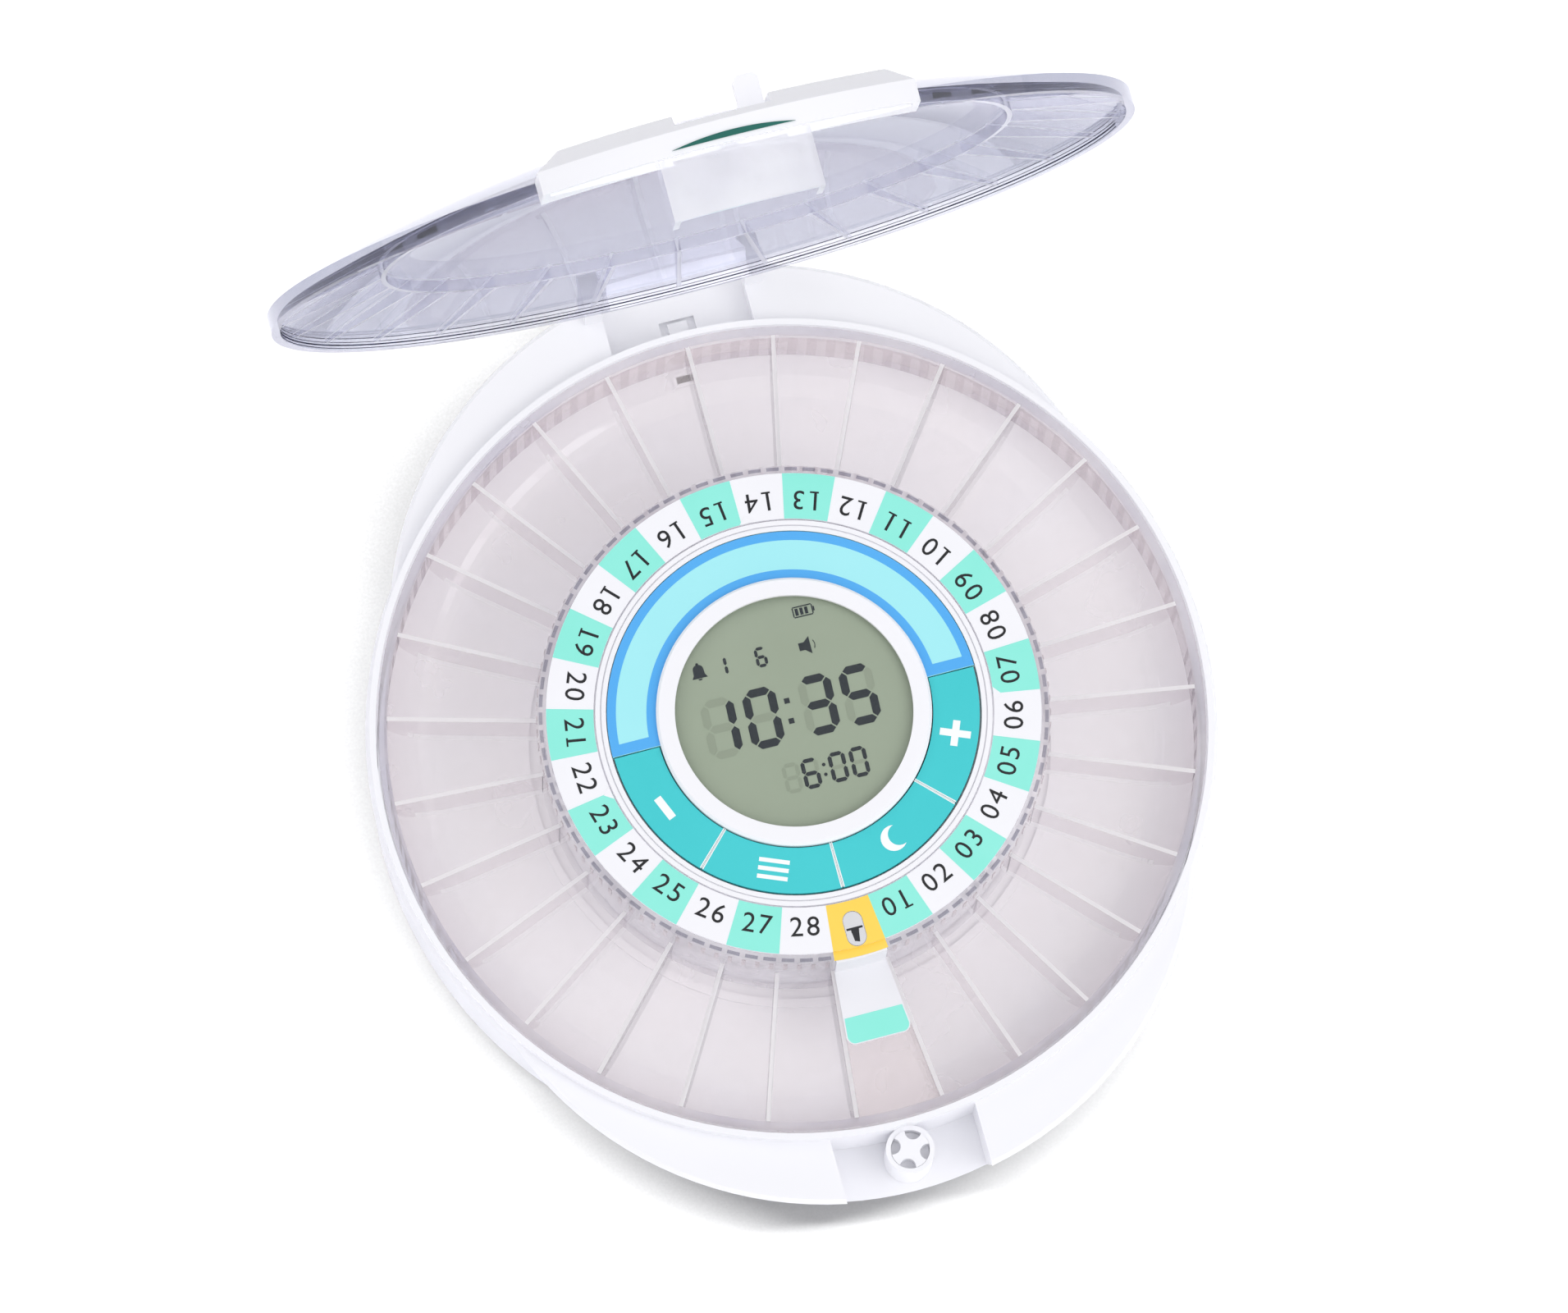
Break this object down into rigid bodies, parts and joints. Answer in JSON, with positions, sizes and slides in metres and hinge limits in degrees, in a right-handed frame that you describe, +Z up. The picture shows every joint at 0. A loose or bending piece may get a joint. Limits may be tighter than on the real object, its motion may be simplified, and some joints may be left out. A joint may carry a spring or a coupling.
{
  "type": "automatic pill dispenser",
  "caption": "Round timed pill dispenser with a turning tray of numbered day cells, a central panel with a display and keys, a key lock and a clear hinged lid shown open.",
  "frame": {"origin": "on the tray's axis, in the plane under the feet", "axes": "+Z up along the tray's axis, -Y towards the lock at the front, +Y towards the lid's hinge, +X to the right seen from the front"},
  "size_m": [0.201, 0.2298, 0.2719],
  "materials": {
    "case_white": "satin moulded",
    "tray_clear": "clear moulded",
    "lid_clear": "clear moulded",
    "key_teal": "printed film",
    "arc_blue": "printed film",
    "card_print": "printed card",
    "label_print": "printed label",
    "strip_teal": "printed",
    "foot_rubber": "matt",
    "board_green": "solder mask",
    "part_grey": "moulded",
    "part_black": "moulded",
    "cell_jacket": "printed jacket",
    "display_glass": "grey green",
    "bright_steel": "plated"
  },
  "bodies": {
    "base": {"lower_case": "case_white", "upper_case": "case_white", "chassis_plate": "case_white", "panel_tower": "case_white", "rubber_feet": "foot_rubber", "case_screws": "bright_steel", "battery_cover": "case_white", "battery_cover_screw": "bright_steel", "battery_cells": "cell_jacket", "battery_contacts": "bright_steel", "main_board": "board_green", "key_board": "board_green", "key_switches": "part_grey", "speaker": "part_black", "gear_motor": "part_grey", "motor_can": "bright_steel", "position_sensor": "part_black", "display_holder": "case_white", "display_panel": "display_glass", "display_window": "lid_clear", "display_bezel": "case_white", "arc_window": "arc_blue", "lock_sleeve": "case_white", "hinge_pin": "case_white"},
    "tray": {"tray_floor": "tray_clear", "tray_outer_wall": "tray_clear", "tray_inner_wall": "tray_clear", "tray_dividers": "tray_clear", "start_cover": "tray_clear", "start_label": "label_print", "tray_gear": "case_white", "number_card": "card_print", "start_peg": "bright_steel"},
    "pinion": {"drive_pinion": "case_white"},
    "plus_button": {"plus_key": "key_teal"},
    "minus_button": {"minus_key": "key_teal"},
    "menu_button": {"menu_key": "key_teal"},
    "sleep_button": {"sleep_key": "key_teal"},
    "lid": {"lid_dome": "lid_clear", "lid_ribs": "lid_clear", "lid_arm": "lid_clear", "front_trim": "case_white", "teal_strip": "strip_teal", "chute_box": "lid_clear"},
    "door": {"dispensing_door": "case_white"},
    "lock": {"lock_plug": "case_white", "lock_cam": "bright_steel"}
  },
  "joints": [
    {"name": "tray_spin", "type": "hinge", "parent": "base", "child": "tray", "pos_m": [0, 0, 0.03], "axis": [0, 0, 1], "continuous": true},
    {"name": "pinion_spin", "type": "hinge", "parent": "base", "child": "pinion", "pos_m": [0, 0.049, 0.02], "axis": [0, 0, 1], "continuous": true},
    {"name": "plus_press", "type": "slide", "parent": "base", "child": "plus_button", "axis": [0, 0, -1], "range_m": [0, 0.0008], "stiffness_N_per_m": 600, "springref_m": -0.001},
    {"name": "minus_press", "type": "slide", "parent": "base", "child": "minus_button", "axis": [0, 0, -1], "range_m": [0, 0.0008], "stiffness_N_per_m": 600, "springref_m": -0.001},
    {"name": "menu_press", "type": "slide", "parent": "base", "child": "menu_button", "axis": [0, 0, -1], "range_m": [0, 0.0008], "stiffness_N_per_m": 600, "springref_m": -0.001},
    {"name": "sleep_press", "type": "slide", "parent": "base", "child": "sleep_button", "axis": [0, 0, -1], "range_m": [0, 0.0008], "stiffness_N_per_m": 600, "springref_m": -0.001},
    {"name": "lid_hinge", "type": "hinge", "parent": "base", "child": "lid", "pos_m": [0, 0.1121, 0.048], "axis": [-1, 0, 0], "range_deg": [-82, 13]},
    {"name": "door_slide", "type": "slide", "parent": "lid", "child": "door", "axis": [-1, 0, 0], "range_m": [0, 0.015]},
    {"name": "lock_turn", "type": "hinge", "parent": "base", "child": "lock", "pos_m": [0, -0.1047, 0.03], "axis": [0, 0, 1], "range_deg": [0, 90]}
  ],
  "couplings": [
    {"joint": "pinion_spin", "follows": "tray_spin", "ratio": 8}
  ]
}
